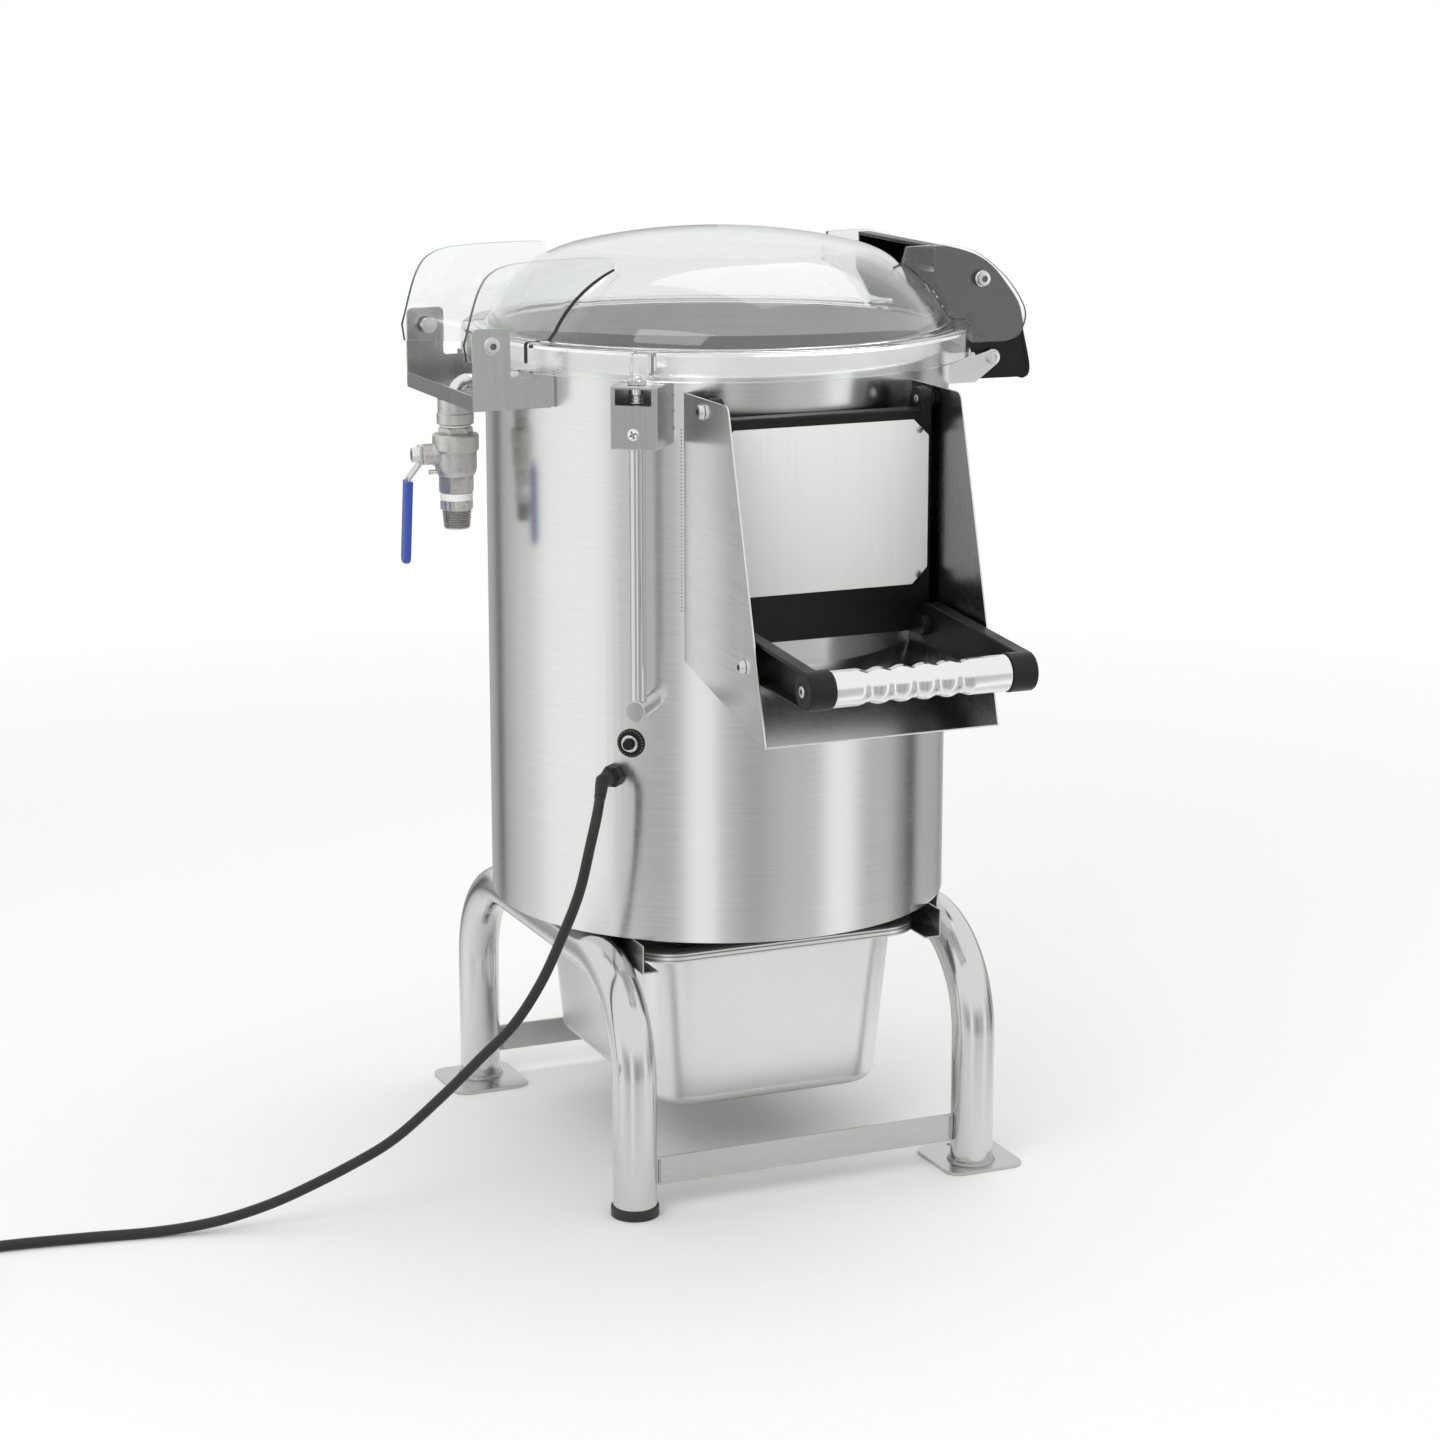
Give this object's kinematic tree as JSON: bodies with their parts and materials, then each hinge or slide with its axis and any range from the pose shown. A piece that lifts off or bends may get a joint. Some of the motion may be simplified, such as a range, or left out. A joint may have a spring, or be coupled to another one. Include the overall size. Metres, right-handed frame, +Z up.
{
  "type": "potato peeler machine",
  "caption": "Floor-standing potato peeler: steel drum with abrasive disc, clear hinged lid, chute door with lever, drain pan on a tube frame, water valve and mains lead.",
  "frame": {"origin": "bottom centre of the machine's bounding box, at floor level, leaving out the mains lead", "axes": "+Z up, -Y the chute and door side, -X the lid's hinge and the water inlet, +X the latch"},
  "size_m": [1.1199, 0.647, 0.8216],
  "materials": {
    "stainless": "fine brushed stainless sheet",
    "satin_tube": "satin polished stainless tube",
    "pan_stainless": "matte drawn stainless",
    "fastener": "bright turned steel",
    "cast_stainless": "matte cast stainless",
    "polished_aluminium": "polished",
    "black_plastic": "satin black moulding",
    "rubber": "matte",
    "cable": "satin jacket",
    "clear_acrylic": "clear, glossy",
    "white_seal": "matte",
    "blue_vinyl": "soft gloss sleeve",
    "abrasive": "coarse grit coat",
    "painted_iron": "satin paint"
  },
  "bodies": {
    "machine": {"frame_tube_left": "satin_tube", "frame_tube_right": "satin_tube", "front_stretcher": "stainless", "rear_stretcher": "stainless", "pan_rail_left": "stainless", "pan_rail_right": "stainless", "foot_plate_front": "stainless", "foot_plate_rear": "stainless", "foot_cap_front": "rubber", "foot_cap_rear": "rubber", "drum_shell": "stainless", "base_plate": "stainless", "inner_floor": "stainless", "abrasive_liner": "abrasive", "bearing_housing": "painted_iron", "drive_belt": "rubber", "motor": "painted_iron", "motor_plate": "stainless", "catch_bracket": "stainless", "hinge_bracket": "stainless", "hinge_bolt_front": "fastener", "hinge_bolt_rear": "fastener", "inlet_socket": "cast_stainless", "spray_nozzle": "fastener", "inlet_seal": "white_seal", "valve_body": "cast_stainless", "nipple_seal": "white_seal", "hose_nipple": "cast_stainless", "switch_box": "stainless", "switch_nut": "fastener", "conduit_pipe": "stainless", "breaker_ring": "black_plastic", "breaker_body": "fastener", "cable_gland": "black_plastic", "power_cord": "cable", "cord_coil": "cable", "power_plug": "black_plastic", "chute": "stainless", "door_bolt_left": "fastener", "door_bolt_right": "fastener", "catch_bolt_left": "fastener", "catch_bolt_right": "fastener"},
    "pan": {"drain_pan": "pan_stainless"},
    "lid": {"lid": "clear_acrylic", "lid_seal": "rubber", "latch_pin": "fastener"},
    "latch": {"latch_handle": "black_plastic"},
    "door": {"door": "black_plastic", "door_plate": "stainless"},
    "lever": {"door_lever": "black_plastic", "lever_grip": "polished_aluminium"},
    "valve": {"valve_ball": "fastener", "valve_lever": "fastener", "lever_sleeve": "blue_vinyl"},
    "disc": {"abrasive_disc": "abrasive", "drive_shaft": "fastener", "driven_pulley": "painted_iron"},
    "motor_rotor": {"motor_pulley": "painted_iron"},
    "plunger": {"switch_plunger": "fastener"},
    "button": {"reset_button": "black_plastic"}
  },
  "joints": [
    {"name": "pan_slide", "type": "slide", "parent": "machine", "child": "pan", "axis": [0, -1, 0], "range_m": [0, 0.3]},
    {"name": "lid_hinge", "type": "hinge", "parent": "machine", "child": "lid", "pos_m": [-0.22973, 0.09552, 0.7388], "axis": [0, -1, 0], "range_deg": [0, 95]},
    {"name": "latch_hinge", "type": "hinge", "parent": "lid", "child": "latch", "pos_m": [0.22977, 0.09552, 0.7757], "axis": [0, -1, 0], "range_deg": [0, 14]},
    {"name": "door_hinge", "type": "hinge", "parent": "machine", "child": "door", "pos_m": [0.01177, -0.11877, 0.6929], "axis": [-1, 0, 0], "range_deg": [0, 65]},
    {"name": "lever_hinge", "type": "hinge", "parent": "door", "child": "lever", "pos_m": [0.01177, -0.14897, 0.506], "axis": [-1, 0, 0], "range_deg": [0, 40]},
    {"name": "valve_turn", "type": "hinge", "parent": "machine", "child": "valve", "pos_m": [-0.23273, 0.09552, 0.637], "axis": [0.9903, -0.1392, 0], "range_deg": [0, 90]},
    {"name": "disc_spin", "type": "hinge", "parent": "machine", "child": "disc", "pos_m": [0.01177, 0.09552, 0.47], "axis": [0, 0, 1], "continuous": true},
    {"name": "motor_spin", "type": "hinge", "parent": "machine", "child": "motor_rotor", "pos_m": [0.11677, 0.09552, 0.409], "axis": [0, 0, 1], "continuous": true},
    {"name": "plunger_slide", "type": "slide", "parent": "machine", "child": "plunger", "axis": [0, 0, 1], "range_m": [-0.004, 0], "stiffness_N_per_m": 250, "springref_m": 0.003},
    {"name": "button_slide", "type": "slide", "parent": "machine", "child": "button", "axis": [-0.6972, -0.7169, 0], "range_m": [-0.0025, 0], "stiffness_N_per_m": 400, "springref_m": 0.001}
  ],
  "couplings": [
    {"joint": "motor_spin", "follows": "disc_spin", "ratio": 3.12}
  ]
}
